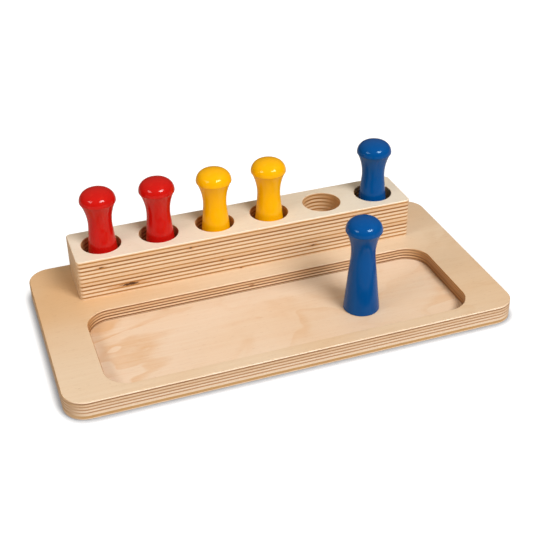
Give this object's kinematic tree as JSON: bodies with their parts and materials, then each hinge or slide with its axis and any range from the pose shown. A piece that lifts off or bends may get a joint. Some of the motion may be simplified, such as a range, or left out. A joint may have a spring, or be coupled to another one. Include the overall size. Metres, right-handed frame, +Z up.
{
  "type": "peg board",
  "caption": "Wooden peg board for small children: a plywood base with a shallow tray and, along the back, a drilled plywood block that holds turned, lacquered pegs which lift out.",
  "frame": {"origin": "on the table, under the centre of the base board's outline", "axes": "+X along the row of holes, +Y from the tray towards the block, +Z up"},
  "size_m": [0.39, 0.2, 0.1089],
  "materials": {
    "birch_plywood": "clear satin varnish over birch plywood, plies showing at the edges",
    "block_plywood": "clear satin varnish over thick-ply plywood, plies showing on all four sides",
    "screw_steel": "zinc plated",
    "red_lacquer": "gloss opaque lacquer on turned wood",
    "yellow_lacquer": "gloss opaque lacquer on turned wood",
    "blue_lacquer": "gloss opaque lacquer on turned wood"
  },
  "bodies": {
    "board": {"bottom_panel": "birch_plywood", "tray_frame_board": "birch_plywood", "block_lower_board": "block_plywood", "block_upper_board": "block_plywood", "block_screws": "screw_steel"},
    "peg_red_left": {"peg_red_left": "red_lacquer"},
    "peg_red_right": {"peg_red_right": "red_lacquer"},
    "peg_yellow_left": {"peg_yellow_left": "yellow_lacquer"},
    "peg_yellow_right": {"peg_yellow_right": "yellow_lacquer"},
    "peg_blue_block": {"peg_blue_block": "blue_lacquer"},
    "peg_blue_tray": {"peg_blue_tray": "blue_lacquer"}
  },
  "joints": [
    {"name": "peg_red_left_lift", "type": "slide", "parent": "board", "child": "peg_red_left", "axis": [0, 0, 1], "range_m": [0, 0.055]},
    {"name": "peg_red_right_lift", "type": "slide", "parent": "board", "child": "peg_red_right", "axis": [0, 0, 1], "range_m": [0, 0.055]},
    {"name": "peg_yellow_left_lift", "type": "slide", "parent": "board", "child": "peg_yellow_left", "axis": [0, 0, 1], "range_m": [0, 0.055]},
    {"name": "peg_yellow_right_lift", "type": "slide", "parent": "board", "child": "peg_yellow_right", "axis": [0, 0, 1], "range_m": [0, 0.055]},
    {"name": "peg_blue_block_lift", "type": "slide", "parent": "board", "child": "peg_blue_block", "axis": [0, 0, 1], "range_m": [0, 0.055]},
    {"name": "peg_blue_tray_lift", "type": "slide", "parent": "board", "child": "peg_blue_tray", "axis": [0, 0, 1], "range_m": [0, 0.055]}
  ]
}
